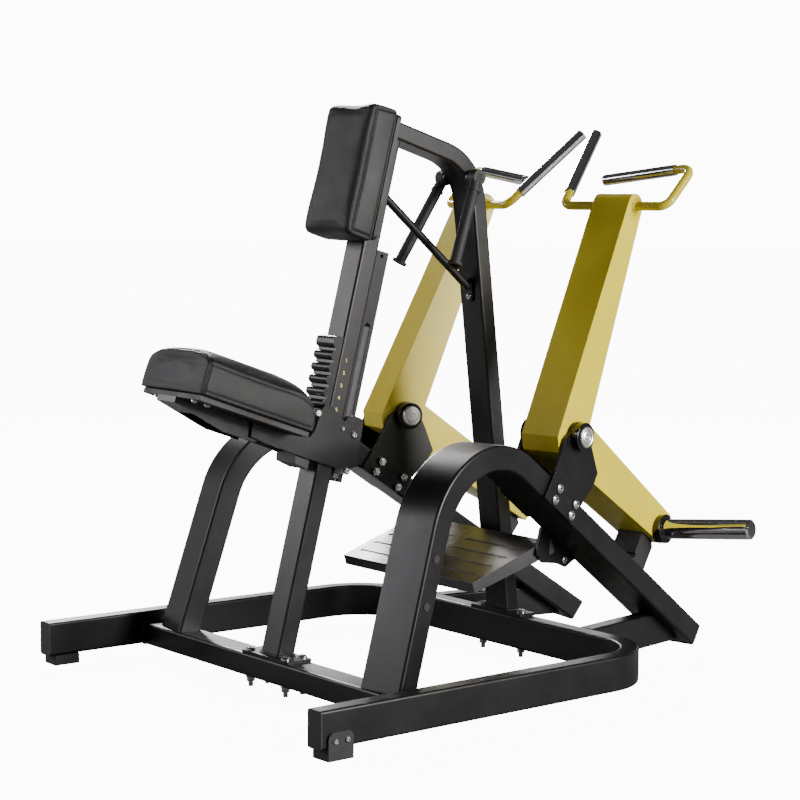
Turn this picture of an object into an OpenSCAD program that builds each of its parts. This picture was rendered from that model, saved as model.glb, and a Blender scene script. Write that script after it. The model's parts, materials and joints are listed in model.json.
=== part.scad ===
// Plate-loaded seated row: chest-supported rowing machine with two independent lever arms.
// Millimetres. X is across the machine, the user faces +Y, Z is up, and the floor is Z = 0.

/* [Base frame] */
// Overall width across the front ends of the base tube
base_w_front = 1158; // [1000:1:1400]
// Overall width across the rear corners of the base tube
base_w_rear = 1126; // [980:1:1380]
// Depth from the front ends to the rear face of the rear cross tube
base_d = 1020; // [850:1:1230]
// Height of the base tube section
base_h = 82; // [68:1:100]
// Width of the base tube section
base_tube_w = 46; // [36:1:56]
// Centreline bend radius of the rear corners
base_bend_r = 150; // [100:1:200]
// Wall of every frame tube
tube_wall = 3; // [2:0.5:4]
// Outside corner radius of the frame tubes
tube_corner_r = 6; // [4:0.5:9]
// Height that the rubber feet lift the base
foot_h = 25; // [15:1:40]
// Distance from the front ends to the front crossbar
crossbar_y = 260; // [200:1:320]
// Depth of the front crossbar section
crossbar_d = 72; // [60:1:90]
// Height of the front crossbar section
crossbar_h = 54; // [40:1:70]

/* [Arch tubes] */
// Width of the wide face of each arch tube
arch_w = 116; // [90:1:140]
// Thickness of each arch tube
arch_t = 57; // [45:1:70]
// Gap between the side tube and the arch foot
arch_gap = 50; // [20:1:80]
// Angle that each arch turns in toward the rear
arch_toe = 10.4; // [6:0.1:14]
// Backward lean of the front leg
arch_lean = 17.5; // [12:0.5:22]
// Straight length of the front leg
arch_leg_len = 368; // [300:1:440]
// Centreline radius of the big bend
arch_bend_r = 206; // [160:1:250]
// Slope of the rear strut below horizontal
strut_slope = 34.5; // [30:0.5:40]
// Straight length of the rear strut
strut_len = 866; // [700:1:1040]

/* [Front post] */
// Width of the front post
post_w = 70; // [58:1:84]
// Depth of the front post
post_d = 48; // [40:1:60]
// Backward lean of the front post
post_lean = 14.3; // [8:0.1:18]
// Height of the front post's top corner above the floor
post_top = 1335; // [1200:1:1500]
// Thickness of the bolted base plates
plate_t = 8; // [6:1:12]
// Thickness of the guide fin behind the post
fin_t = 24; // [16:1:30]
// Depth of the guide fin behind the post
fin_d = 50; // [44:1:66]

/* [Spine] */
// Width of the spine tube
spine_w = 80; // [60:1:96]
// Thickness of the spine tube
spine_t = 42; // [35:1:50]
// Lean of the rear post toward the user
spine_lean = 7; // [4:0.1:9]
// Drop of the top run toward the rear
spine_drop = 16.5; // [10:0.5:20]
// Centreline radius of the spine bend
spine_bend_r = 140; // [100:1:180]

/* [Pads] */
// Width of the chest pad
chest_w = 180; // [150:1:240]
// Height of the chest pad along the post
chest_h = 316; // [260:1:400]
// Thickness of the chest pad
chest_t = 84; // [60:1:102]
// Thickness of the pad boards
board_t = 12; // [9:1:18]
// Width of the seat pad
seat_w = 256; // [210:1:330]
// Length of the seat pad along its slope
seat_len = 321; // [280:1:385]
// Thickness of the seat pad
seat_t = 104; // [80:1:125]
// Slope of the seat, nose up
seat_slope = 18.8; // [10:0.1:24]

/* [Seat adjustment] */
// Distance between two rack notches along the post
rack_pitch = 29; // [24:1:32]
// Number of seat positions
rack_count = 5; // [3:1:5]
// Depth that the rack stands out of the post
rack_d = 26; // [20:1:32]
// Thickness of the carriage side plates
carriage_t = 8; // [5:1:10]
// Gap between the post and each carriage plate
carriage_gap = 2.5; // [1.5:0.5:4]

/* [Arms] */
// Width of each arm box
arm_w = 106; // [86:1:108]
// Distance of the pivot down the strut, from the end of the big bend
pivot_along = 112; // [90:1:160]
// Height of the pivot above the strut's top face
pivot_rise = 124.5; // [115:0.5:150]
// Diameter of the pivot shaft
shaft_d = 30; // [24:1:36]
// Thickness of the pivot brackets
bracket_t = 8; // [6:1:10]
// Outside diameter of the bearing housings
housing_d = 68; // [60:1:76]
// Diameter of the bent handle rod
rod_d = 22; // [18:1:26]
// Diameter of the handle grip sleeves
grip_d = 28; // [26:1:34]
// Diameter of the weight horn sleeve
horn_d = 50; // [28:1:50]
// Length of the weight horn outside its collar
horn_len = 238; // [190:1:290]
// Upward tilt of the weight horn
horn_tilt = 6.5; // [3:0.5:10]

/* [Footplates] */
// Overall width across both footplates
footplate_w = 500; // [420:1:520]
// Depth of the footplates along their slope
footplate_d = 222; // [180:1:260]
// Slope of the footplates
footplate_slope = 19; // [10:0.5:25]
// Height of the footplates' front edge above the floor
footplate_z = 248; // [210:1:280]
/* [Hidden] */
$fn = 48;
clear = 0.3;
wall_arm = 4;
base_top = foot_h + base_h;
base_mid_z = foot_h + base_h / 2;
crossbar_top = foot_h + crossbar_h;
side_taper = (base_w_front - base_w_rear) / 2 / base_d;
side_angle = atan(side_taper);
// Half of the side tube's width across the machine
tube_half_x = base_tube_w / 2 / cos(side_angle);
rear_tube_y = base_d - base_tube_w / 2;
function side_x(y) = base_w_front / 2 - side_taper * y;

// Arch planes: points are [s, z], with s running rearward along the arch and z up.
arch_x = side_x(crossbar_y) - base_tube_w - arch_gap - arch_w / 2;
arch_y = crossbar_y + arch_w / 2 * sin(arch_toe);
leg_dir = [sin(arch_lean), cos(arch_lean)];
leg_in = [cos(arch_lean), -sin(arch_lean)];
strut_dir = [cos(strut_slope), -sin(strut_slope)];
strut_up = [sin(strut_slope), cos(strut_slope)];
arch_turn = 90 - arch_lean + strut_slope;
arch_start = [0, crossbar_top] + arch_t / 2 * leg_in;
strut_start = arch_start + arch_leg_len * leg_dir + arch_bend_r * (leg_in + strut_up);
strut_end = strut_start + strut_len * strut_dir;
pivot = strut_start + pivot_along * strut_dir + (pivot_rise + arch_t / 2) * strut_up;
// Heights of the strut's two faces, measured from the pivot square to the strut
strut_top_u = -pivot_rise;
strut_low_u = -pivot_rise - arch_t;

// Arm outline: points are [along the strut, square to the strut] from the pivot.
lever_end_a = 474;
lever_low_a = -32;
lever_low_u = -63;
lever_low_rate = 0.052;
lever_top = [37, 52];
lever_tip_u = 42;
arm_fold = [-58, -35];
arm_head = [-115, 577];
arm_head_r = 30;
horn_at = [450, -8];
stop_at = 440;
stop_len = 60;
stop_w = 72;
bracket_bolts_a = [3, 80];
bracket_bolts_u = [for (k = [-15, 15]) (strut_top_u + strut_low_u) / 2 + k];
housing_len = 18;
cap_t = 3;
function lever_low(a) = lever_low_u + (a - lever_low_a) * lever_low_rate;

// Front post: y of its front face at a height, and its foot
post_foot_z = crossbar_top + plate_t;
post_inset = 14;
function post_y(z) = crossbar_y + post_inset + (z - post_foot_z) * tan(post_lean);
post_run = post_d / cos(post_lean);
// Guide slot behind the post, measured square to the post's rear face
slot_out = 31;
slot_w = 18;
roller_d = slot_w - 2 * clear;
fin_low_z = 500;
fin_high_z = 1040;

// Spine: foot, directions and the corner where its two straight runs would meet, as [y, z]
spine_foot = [rear_tube_y, base_top + plate_t];
spine_up = [-sin(spine_lean), cos(spine_lean)];
spine_back = [cos(spine_drop), -sin(spine_drop)];
spine_turn = 90 - spine_lean - spine_drop;
spine_nose = [post_y(post_top), post_top] - spine_t / 2 * [sin(spine_drop), cos(spine_drop)];
function cross2(a, b) = a[0] * b[1] - a[1] * b[0];
spine_reach = cross2(spine_nose - spine_foot, spine_back) / cross2(spine_up, spine_back);
spine_tangent = spine_bend_r * tan(spine_turn / 2);
spine_corner = spine_foot + spine_reach * spine_up;
spine_run = norm(spine_corner - spine_nose) - spine_tangent;
// Support grip axle, on the bend's centreline just below its middle, as [y, z]
grip_hub = spine_corner - 18 * spine_up
    + spine_bend_r * (1 / cos(spine_turn / 2) - 1) * unit(-spine_back - spine_up);

// Seat carriage: origin on the post's front face at the lowest seat position
carriage_z = 565;
carriage_origin = [post_y(carriage_z), carriage_z];
carriage_x = post_w / 2 + carriage_gap;
seat_corner = carriage_origin + [-89, 50];
seat_dir = [-cos(seat_slope), sin(seat_slope)];
seat_normal = [sin(seat_slope), cos(seat_slope)];
rack_top_z = 822;
rib_r = 11;

footplate_y = 680;
footplate_t = 6;

// ---- helpers ----
module on_side(side) {
    if (side > 0) children();
    else mirror([1, 0, 0]) children();
}

module in_arch_plane(side) {
    on_side(side) translate([arch_x, arch_y, 0]) rotate([0, 0, arch_toe]) children();
}

// Pivot frame at rest: X out along the shaft, Y down the strut, Z square to the strut
module at_pivot(side) {
    in_arch_plane(side) translate([0, pivot[0], pivot[1]]) rotate([-strut_slope, 0, 0]) children();
}

// Extrudes an outline of [y, z] points along X, from x0 to x1
module slab(x0, x1) {
    translate([x0, 0, 0]) rotate([90, 0, 90]) linear_extrude(x1 - x0) children();
}

module round_rect(w, h, r) {
    square([w - 2 * r, h], center = true);
    square([w, h - 2 * r], center = true);
    for (x = [-1, 1], y = [-1, 1]) translate([x * (w / 2 - r), y * (h / 2 - r)]) circle(r);
}

module tube_section(w, h, wall) {
    difference() {
        round_rect(w, h, tube_corner_r);
        round_rect(w - 2 * wall, h - 2 * wall, tube_corner_r - wall / 2 - 0.5);
    }
}

// Straight tube along +Y, width along X
module tube_line(len, w, h) {
    rotate([-90, 0, 0]) linear_extrude(len) tube_section(w, h, tube_wall);
}

// Bend that starts along +Y and turns down toward -Z
module tube_bend(r, angle, w, h) {
    translate([0, 0, -r]) rotate([0, -90, 0]) rotate_extrude(angle = angle)
        translate([r, 0]) tube_section(h, w, tube_wall);
}

// Moves children to the end of such a bend
module past_bend(r, angle) {
    translate([0, 0, -r]) rotate([-angle, 0, 0]) translate([0, 0, r]) children();
}

module button_bolt(d, head_d, head_h, len) {
    difference() {
        union() {
            cylinder(d = head_d, h = head_h * 0.55);
            translate([0, 0, head_h * 0.55]) cylinder(d1 = head_d, d2 = head_d * 0.62, h = head_h * 0.45);
        }
        translate([0, 0, head_h * 0.4]) cylinder(d = head_d * 0.4, h = head_h, $fn = 6);
    }
    translate([0, 0, -len]) cylinder(d = d, h = len);
}

function unit(v) = v / norm(v);

// Turns the inner corners of a path of points into arcs of radius r, with n steps each
function arc_corner(a, b, c, r, n) =
    let (u = unit(a - b), v = unit(c - b), half = acos(u * v) / 2, t = r / tan(half),
         mid = b + unit(u + v) * (r / sin(half)), p = b + u * t - mid, q = b + v * t - mid,
         sweep = 180 - 2 * half)
    [for (i = [0:n]) mid + (p * sin(sweep * (1 - i / n)) + q * sin(sweep * i / n)) / sin(sweep)];
function rounded_path(p, r, n) = concat([p[0]],
    [for (i = [1:len(p) - 2]) each arc_corner(p[i - 1], p[i], p[i + 1], r, n)], [p[len(p) - 1]]);
function path_dir(p, i) = unit(p[min(i + 1, len(p) - 1)] - p[max(i - 1, 0)]);
function side_of(n, d) = unit(n - (n * d) * d);

// Round rod that follows a path of points
module rod(path, d, sides = 20) {
    frames = [for (i = 0, n = side_of([0.31, 0.52, 0.79], path_dir(path, 0)); i < len(path);
        i = i + 1, n = i < len(path) ? side_of(n, path_dir(path, i)) : n) n];
    rings = [for (i = [0:len(path) - 1]) let (t = path_dir(path, i), n = frames[i], b = cross(t, n))
        for (k = [0:sides - 1]) path[i] + d / 2 * (n * cos(360 * k / sides) + b * sin(360 * k / sides))];
    last = (len(path) - 1) * sides;
    polyhedron(rings, concat(
        [[for (k = [0:sides - 1]) k]],
        [[for (k = [0:sides - 1]) last + sides - 1 - k]],
        [for (i = [0:len(path) - 2], k = [0:sides - 1])
            let (j = (k + 1) % sides)
                [i * sides + k, (i + 1) * sides + k, (i + 1) * sides + j, i * sides + j]]));
}

// Straight cylinder between two points
module bar(a, b, d) {
    v = b - a;
    translate(a) rotate([0, acos(v[2] / norm(v)), atan2(v[1], v[0])]) cylinder(d = d, h = norm(v));
}

// Inner outline of a closed shape, moved in by t (points run anticlockwise)
function edge_in(a, b) = unit([a[1] - b[1], b[0] - a[0]]);
function inset(p, t) = [for (i = [0:len(p) - 1])
    let (a = p[(i + len(p) - 1) % len(p)], b = p[i], c = p[(i + 1) % len(p)],
         m = edge_in(a, b), n = edge_in(b, c)) b + t * (m + n) / (1 + m * n)];

// ---- base ----
module base_tube() {
    corner_x = side_x(rear_tube_y) - tube_half_x;
    turn = 90 - side_angle;
    tangent = base_bend_r * tan(turn / 2);
    side_len = rear_tube_y / cos(side_angle) - tangent;
    color("dimgray") difference() {
        for (side = [-1, 1]) on_side(side)
            translate([side_x(0) - tube_half_x, 0, base_mid_z]) rotate([0, 0, side_angle])
            rotate([0, -90, 0]) {
                tube_line(side_len, base_h, base_tube_w);
                translate([0, side_len, 0]) mirror([0, 0, 1]) {
                    tube_bend(base_bend_r, turn, base_h, base_tube_w);
                    past_bend(base_bend_r, turn) tube_line(corner_x - tangent, base_h, base_tube_w);
                }
            }
        spine_bolt_holes();
    }
}

module front_crossbar() {
    x0 = side_x(crossbar_y) - 2 * tube_half_x;
    x1 = side_x(crossbar_y + crossbar_d) - 2 * tube_half_x;
    color("dimgray") difference() {
        intersection() {
            translate([-x0, crossbar_y + crossbar_d / 2, foot_h + crossbar_h / 2]) rotate([0, 0, -90])
                tube_line(2 * x0, crossbar_d, crossbar_h);
            linear_extrude(base_top) polygon([[-x0, crossbar_y], [x0, crossbar_y],
                [x1, crossbar_y + crossbar_d], [-x1, crossbar_y + crossbar_d]]);
        }
        post_plate_holes();
    }
}

// Tail tubes run from the rear cross tube to the underside of the struts
module tail_tubes() {
    s0 = (base_d - arch_y) / cos(arch_toe);
    color("dimgray") for (side = [-1, 1]) difference() {
        in_arch_plane(side) difference() {
            translate([0, s0 - base_tube_w, base_mid_z])
                tube_line(strut_end[0] - s0 + base_tube_w, base_tube_w, base_h);
            strut_space();
        }
        translate([0, 0, -1]) linear_extrude(base_top + 2)
            square([2 * base_w_front, 2 * base_d], center = true);
    }
}

// Everything above the strut's lower face and behind its end
module strut_space() {
    translate([0, strut_start[0], strut_start[1]]) rotate([-strut_slope, 0, 0])
        translate([-arch_w, -strut_len, -arch_t / 2]) cube([2 * arch_w, 3 * strut_len, strut_len]);
}

module arch(side) {
    color("dimgray") in_arch_plane(side) difference() {
        translate([0, arch_start[0], arch_start[1]]) rotate([90 - arch_lean, 0, 0]) {
            tube_line(arch_leg_len, arch_w, arch_t);
            translate([0, arch_leg_len, 0]) {
                tube_bend(arch_bend_r, arch_turn, arch_w, arch_t);
                past_bend(arch_bend_r, arch_turn) tube_line(strut_len, arch_w, arch_t);
            }
        }
        translate([-arch_w, -arch_t, 0]) cube([2 * arch_w, 4 * arch_t, crossbar_top]);
        translate([0, pivot[0], pivot[1]]) rotate([-strut_slope, 0, 0]) {
            at_bracket_bolts() cylinder(d = 12.6, h = 2 * arch_w, center = true);
        }
        plug_holes();
    }
}
module arch_right() { arch(1); }
module arch_left() { arch(-1); }

// Places children at each bracket bolt, with Z along the bolt
module at_bracket_bolts() {
    for (a = bracket_bolts_a, u = bracket_bolts_u) translate([0, a, u]) rotate([0, 90, 0]) children();
}

// Plug centres down the leg, measured along it from the foot
plug_d = 15;
plug_spots = [200, 306];
module at_plugs() {
    for (l = plug_spots) let (c = arch_start + l * leg_dir)
        translate([arch_w / 2, c[0], c[1]]) rotate([0, 90, 0]) children();
}
module plug_holes() {
    at_plugs() translate([0, 0, -2 * tube_wall]) cylinder(d = plug_d, h = 3 * tube_wall);
}
module arch_plugs() {
    color("black") for (side = [-1, 1]) in_arch_plane(side) at_plugs() {
        translate([0, 0, -tube_wall]) cylinder(d = plug_d, h = tube_wall);
        cylinder(d = plug_d + 5, h = 1.6);
    }
}

cap_out = 4;
module end_cap(w, h) {
    linear_extrude(cap_out) round_rect(w, h, tube_corner_r);
    translate([0, 0, -12]) linear_extrude(12)
        round_rect(w - 2 * tube_wall - clear, h - 2 * tube_wall - clear, tube_corner_r - tube_wall / 2 - 0.5);
}

module strut_caps() {
    color("black") for (side = [-1, 1]) in_arch_plane(side)
        translate([0, strut_end[0], strut_end[1]]) rotate([-strut_slope, 0, 0]) rotate([-90, 0, 0])
        end_cap(arch_w, arch_t);
}

module base_end_caps() {
    color("black") for (side = [-1, 1]) on_side(side)
        translate([side_x(0) - tube_half_x, 0, base_mid_z]) rotate([0, 0, side_angle]) rotate([90, 0, 0])
        end_cap(base_tube_w, base_h);
}

foot_len = 78;
foot_inset = 12;
ear_h = 36;
ear_t = 5;
screw_spots = [foot_inset + 18, foot_inset + 50];
// Local frame of a front foot: Y along the side tube, X outward from its outer face
module at_front_foot(side) {
    on_side(side) translate([side_x(0), 0, 0]) rotate([0, 0, side_angle]) children();
}
module front_feet() {
    color("black") for (side = [-1, 1]) at_front_foot(side) {
        translate([-base_tube_w - 2, foot_inset, 0])
            cube([base_tube_w + 2 + ear_t, foot_len - foot_inset, foot_h]);
        difference() {
            slab(0, ear_t) union() {
                translate([foot_inset, foot_h - 1]) square([foot_len - foot_inset, ear_h - 16]);
                translate([foot_inset + 16, foot_h - 1]) square([foot_len - foot_inset - 32, ear_h]);
                for (y = [foot_inset + 16, foot_len - 16]) translate([y, foot_h + ear_h - 17]) circle(16);
            }
            for (y = screw_spots) translate([-1, y, foot_h + 16]) rotate([0, 90, 0])
                cylinder(d = 6, h = ear_t + 2);
        }
    }
}
module foot_screws() {
    color("silver") for (side = [-1, 1]) at_front_foot(side) for (y = screw_spots)
        translate([ear_t, y, foot_h + 16]) rotate([0, 90, 0]) button_bolt(6, 13, 4, ear_t);
}

rear_foot_x = 400;
module rear_feet() {
    color("black") for (side = [-1, 1]) on_side(side)
        translate([rear_foot_x * base_w_rear / 1126, rear_tube_y, 0]) {
            cylinder(d = base_tube_w - 4, h = foot_h);
        }
}

// ---- front post, rack and fin ----
// Post frame: origin at the foot of the front face, Y behind it, Z up the post
module on_post() {
    translate([0, crossbar_y + post_inset, post_foot_z]) rotate([-post_lean, 0, 0]) children();
}
function post_len_at(z) = (z - post_foot_z) / cos(post_lean);

module under_spine_nose() {
    translate([0, spine_nose[0], spine_nose[1]]) rotate([-spine_drop, 0, 0])
        translate([-post_w, -4 * post_d, -spine_t / 2]) cube([2 * post_w, 8 * post_d, 8 * post_d]);
}

module front_post() {
    color("dimgray") difference() {
        on_post() translate([0, post_d / 2, -post_d]) linear_extrude(post_len_at(post_top) + 2 * post_d)
            tube_section(post_w, post_d, tube_wall);
        under_spine_nose();
        translate([0, 0, post_foot_z - 2 * post_d]) linear_extrude(2 * post_d)
            square(4 * base_d, center = true);
    }
}

plate_w = 184;
plate_bolt_x = 70;
plate_bolt_y = [-24, 24];
module at_post_plate_bolts() {
    for (x = [-1, 1], y = plate_bolt_y)
        translate([x * plate_bolt_x, crossbar_y + crossbar_d / 2 + y, crossbar_top]) children();
}
module post_plate_holes() {
    at_post_plate_bolts() translate([0, 0, -2 * crossbar_h]) cylinder(d = 12.6, h = 4 * crossbar_h);
}
module post_plate() {
    color("dimgray") difference() {
        translate([0, crossbar_y + crossbar_d / 2, crossbar_top]) linear_extrude(plate_t)
            round_rect(plate_w, crossbar_d, 5);
        post_plate_holes();
    }
}
module through_bolt(grip) {
    button_bolt(12, 22, 7, grip + 24);
    translate([0, 0, -grip - 2]) cylinder(d = 24, h = 2);
    translate([0, 0, -grip - 12]) cylinder(d = 20, h = 10, $fn = 6);
}
module post_bolts() {
    color("silver") at_post_plate_bolts() translate([0, 0, plate_t]) through_bolt(plate_t + crossbar_h);
}

module guide_fin() {
    low = post_len_at(fin_low_z);
    high = post_len_at(fin_high_z);
    slot_low = post_len_at(510);
    slot_high = post_len_at(862);
    color("dimgray") on_post() translate([0, post_d, 0]) difference() {
        slab(-fin_t / 2, fin_t / 2) polygon([[0, low], [fin_d, low], [fin_d, high], [0, high]]);
        slab(-fin_t, fin_t) {
            translate([slot_out - slot_w / 2, slot_low]) square([slot_w, slot_high - slot_low]);
            for (l = [slot_low, slot_high]) translate([slot_out, l]) circle(d = slot_w);
        }
        translate([-fin_t, slot_out, high - 12]) rotate([0, 90, 0]) cylinder(d = 9, h = 2 * fin_t);
    }
}

module seat_rack() {
    high = post_len_at(rack_top_z);
    low = post_len_at(570);
    color("dimgray") on_post() slab(-post_w / 2, post_w / 2) {
        translate([-rack_d + rib_r, low]) square([rack_d - rib_r, high - low]);
        translate([-rack_d, high - 29 + rib_r]) square([rack_d, 29 - 2 * rib_r]);
        for (l = [high - rib_r, high - 29 + rib_r]) translate([-rack_d + rib_r, l]) circle(rib_r);
        for (l = [high - 29 - rack_pitch * 0.62 : -rack_pitch : low])
            translate([-rack_d + rib_r, l]) circle(rib_r);
    }
}

// ---- spine ----
module spine() {
    rise = spine_reach - spine_tangent;
    color("dimgray") difference() {
        translate([0, spine_foot[0], spine_foot[1]]) rotate([90 + spine_lean, 0, 0]) mirror([0, 0, 1]) {
            translate([0, -spine_t, 0]) tube_line(rise + spine_t, spine_w, spine_t);
            translate([0, rise, 0]) {
                tube_bend(spine_bend_r, spine_turn, spine_w, spine_t);
                past_bend(spine_bend_r, spine_turn) tube_line(spine_run + spine_t, spine_w, spine_t);
            }
        }
        on_post() translate([-spine_w, -4 * post_d, 0]) cube([2 * spine_w, 4 * post_d, 2 * post_top]);
        translate([0, 0, spine_foot[1] - 4 * spine_t]) linear_extrude(4 * spine_t)
            square(4 * base_d, center = true);
        translate([-spine_w, grip_hub[0], grip_hub[1]]) rotate([0, 90, 0])
            cylinder(d = axle_d, h = 2 * spine_w);
    }
}

spine_plate_w = 190;
spine_bolt_x = 72;
module at_spine_bolts() {
    for (x = [-1, 1]) translate([x * spine_bolt_x, rear_tube_y, base_top]) children();
}
module spine_bolt_holes() {
    at_spine_bolts() translate([0, 0, -2 * base_h]) cylinder(d = 12.6, h = 4 * base_h);
}
module spine_plate() {
    color("dimgray") difference() {
        translate([0, rear_tube_y, base_top]) linear_extrude(plate_t)
            round_rect(spine_plate_w, base_tube_w + 4, 5);
        spine_bolt_holes();
    }
}
module spine_bolts() {
    color("silver") at_spine_bolts() translate([0, 0, plate_t]) through_bolt(plate_t + base_h);
}

// Brace from the back of the front post to the front of the rear post
brace_d = 20;
brace_low_z = 925;
brace_high_z = 1158;
tab_t = 6;
tab_w = 26;
function spine_front_y(z) =
    spine_foot[0] - (z - spine_foot[1]) * tan(spine_lean) - spine_t / 2 / cos(spine_lean);
brace_front = [post_y(brace_high_z) + post_run, brace_high_z];
brace_back = [spine_front_y(brace_low_z), brace_low_z];
module at_brace_tab() {
    translate([0, brace_back[0], brace_back[1]]) rotate([spine_lean, 0, 0]) rotate([90, 0, 0]) children();
}
module brace_rod() {
    dir = unit(brace_back - brace_front);
    to = brace_back - 9 * dir;
    color("black") {
        difference() {
            bar([0, brace_front[0], brace_front[1]], [0, to[0], to[1]], brace_d);
            on_post() translate([-post_w, -4 * post_d, 0]) cube([2 * post_w, 5 * post_d, 2 * post_top]);
        }
        at_brace_tab() difference() {
            union() {
                linear_extrude(tab_t) square([tab_w, 34], center = true);
                for (z = [-17, 17]) translate([0, z, 0]) cylinder(d = tab_w, h = tab_t);
            }
            translate([0, -17, -1]) cylinder(d = 8.6, h = tab_t + 2);
        }
    }
}
module brace_bolts() {
    color("silver") at_brace_tab() translate([0, -17, tab_t]) button_bolt(8, 16, 5, tab_t);
}

// ---- support grips on the spine bend ----
axle_d = 20;
axle_half = 74;
support_grip_d = 27;
grip_foot = [106, -105, -211];
module grip_axle() {
    color("black") translate([-axle_half, grip_hub[0], grip_hub[1]]) rotate([0, 90, 0]) {
        cylinder(d = axle_d, h = 2 * axle_half);
        for (z = [axle_half - spine_w / 2 - 6, axle_half + spine_w / 2])
            translate([0, 0, z]) cylinder(d = 36, h = 6);
    }
}
module support_grip(side) {
    hub = [axle_half - 13, grip_hub[0], grip_hub[1]];
    foot = [grip_foot[0], grip_hub[0] + grip_foot[1], grip_hub[1] + grip_foot[2]];
    dir = unit(foot - hub);
    color("black") on_side(side) difference() {
        union() {
            translate([axle_half - 26, hub[1], hub[2]]) rotate([0, 90, 0]) cylinder(d = 38, h = 26);
            bar(hub, foot, support_grip_d);
            bar(foot - 8 * dir, foot, support_grip_d + 10);
            bar(hub + 34 * dir, hub + 40 * dir, support_grip_d + 5);
        }
        translate([0, hub[1], hub[2]]) rotate([0, 90, 0]) cylinder(d = axle_d, h = 2 * axle_half);
        bar(foot - 22 * dir, foot + dir, support_grip_d - 9);
    }
}
module support_grip_right() { support_grip(1); }
module support_grip_left() { support_grip(-1); }

// ---- chest pad ----
chest_low_z = 1041;
chest_low = post_len_at(chest_low_z);
module chest_board() {
    color("black") on_post() translate([0, 0, chest_low + chest_h / 2]) rotate([90, 0, 0])
        linear_extrude(board_t) round_rect(chest_w - 16, chest_h - 16, 12);
}
module chest_pad() {
    color("#222222") on_post() translate([0, -board_t, chest_low + chest_h / 2]) rotate([90, 0, 0])
        linear_extrude(chest_t) round_rect(chest_w, chest_h, 18);
}

// ---- pivot brackets and bearings ----
bearing_d = housing_d - 14;
module bracket_outline() {
    difference() {
        union() {
            polygon([[bracket_bolts_a[0] - 37, strut_low_u], [bracket_bolts_a[1] + 10, strut_low_u],
                [118, strut_top_u / 2 - 2], [116, -34], [62, 2], [20, 26], [-20, 26], [-43, -30],
                [bracket_bolts_a[0] - 36, strut_top_u + 17]]);
            circle(d = housing_d + 2);
        }
        circle(d = bearing_d);
        for (a = bracket_bolts_a, u = bracket_bolts_u) translate([a, u]) circle(d = 12.6);
    }
}
module brackets(side) {
    color("#2b2b2b") at_pivot(side) for (x = [-arch_w / 2 - bracket_t, arch_w / 2])
        slab(x, x + bracket_t) bracket_outline();
}
module brackets_right() { brackets(1); }
module brackets_left() { brackets(-1); }

bearing_in = arch_w / 2 + 1;
bearing_out = arch_w / 2 + bracket_t + housing_len;
module bearings(side) {
    color("black") at_pivot(side) for (f = [-1, 1]) rotate([0, f * 90, 0]) {
        translate([0, 0, bearing_in]) difference() {
            cylinder(d = bearing_d, h = bearing_out - bearing_in);
            translate([0, 0, -1]) cylinder(d = shaft_d + 0.1, h = 2 * housing_len + bracket_t);
        }
        translate([0, 0, arch_w / 2 + bracket_t]) difference() {
            cylinder(d = housing_d, h = housing_len);
            translate([0, 0, -1]) cylinder(d = bearing_d, h = housing_len + 2);
        }
    }
}
module bearings_right() { bearings(1); }
module bearings_left() { bearings(-1); }

module bracket_bolts(side) {
    grip = arch_w + 2 * bracket_t;
    color("silver") at_pivot(side) at_bracket_bolts() translate([0, 0, grip / 2]) {
        button_bolt(12, 23, 7, grip + 14);
        translate([0, 0, -grip - 10]) cylinder(d = 21, h = 10, $fn = 6);
    }
}
module bracket_bolts_right() { bracket_bolts(1); }
module bracket_bolts_left() { bracket_bolts(-1); }

module stop_blocks() {
    low = strut_top_u;
    a0 = stop_at - stop_len / 2;
    a1 = stop_at + stop_len / 2;
    color("#1a1a1a") for (side = [-1, 1]) at_pivot(side) slab(-stop_w / 2, stop_w / 2) difference() {
        polygon([[a0, low], [a1, low], [a1, lever_low(a1) - clear - 14],
            [a1 - 14, lever_low(a1 - 14) - clear], [a0, lever_low(a0) - clear]]);
        translate([a0 - 1, low + 14]) square([7, 12]);
    }
}

// ---- footplates ----
// Footplate frame: origin at the front edge on the centre plane, Y up the slope
module on_footplates() {
    translate([0, footplate_y, footplate_z]) rotate([footplate_slope, 0, 0]) children();
}
groove_count = 4;
skirt_front = 26;
skirt_back = 40;
skirt_t = 6;
skirt_tail = 42;
seam_gap = 2;
module side_skirt() {
    on_footplates() slab(footplate_w / 2 - skirt_t, footplate_w / 2)
        polygon([[0, 0], [0, -skirt_front], [footplate_d + skirt_tail, -skirt_back],
            [footplate_d + skirt_tail, -4], [footplate_d, 0]]);
}
module footplate(side) {
    w = (footplate_w - seam_gap) / 2;
    pitch = footplate_d / (groove_count + 0.6);
    color("#3a3a3a") on_side(side) {
        on_footplates() difference() {
            union() {
                translate([seam_gap / 2, 0, -footplate_t]) cube([w, footplate_d, footplate_t]);
                translate([seam_gap / 2, 0, -skirt_front]) cube([w, skirt_t, skirt_front]);
            }
            for (i = [0:groove_count - 1]) translate([24, pitch * (i + 0.7), -2]) cube([w - 48, 9, 4]);
        }
        difference() {
            side_skirt();
            cross_tube_space();
        }
    }
}
module footplate_right() { footplate(1); }
module footplate_left() { footplate(-1); }

// Cross tube behind the footplates, hung from the inner edge of each strut's lower face
hanger_t = 8;
hanger_bolt = [266, strut_low_u - 22.5];
frame_tube = 36;
cross_tube_l = footplate_d + 3 + frame_tube / 2;
cross_tube_y = footplate_y + cross_tube_l * cos(footplate_slope)
    + (footplate_t + frame_tube / 2) * sin(footplate_slope);
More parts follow.
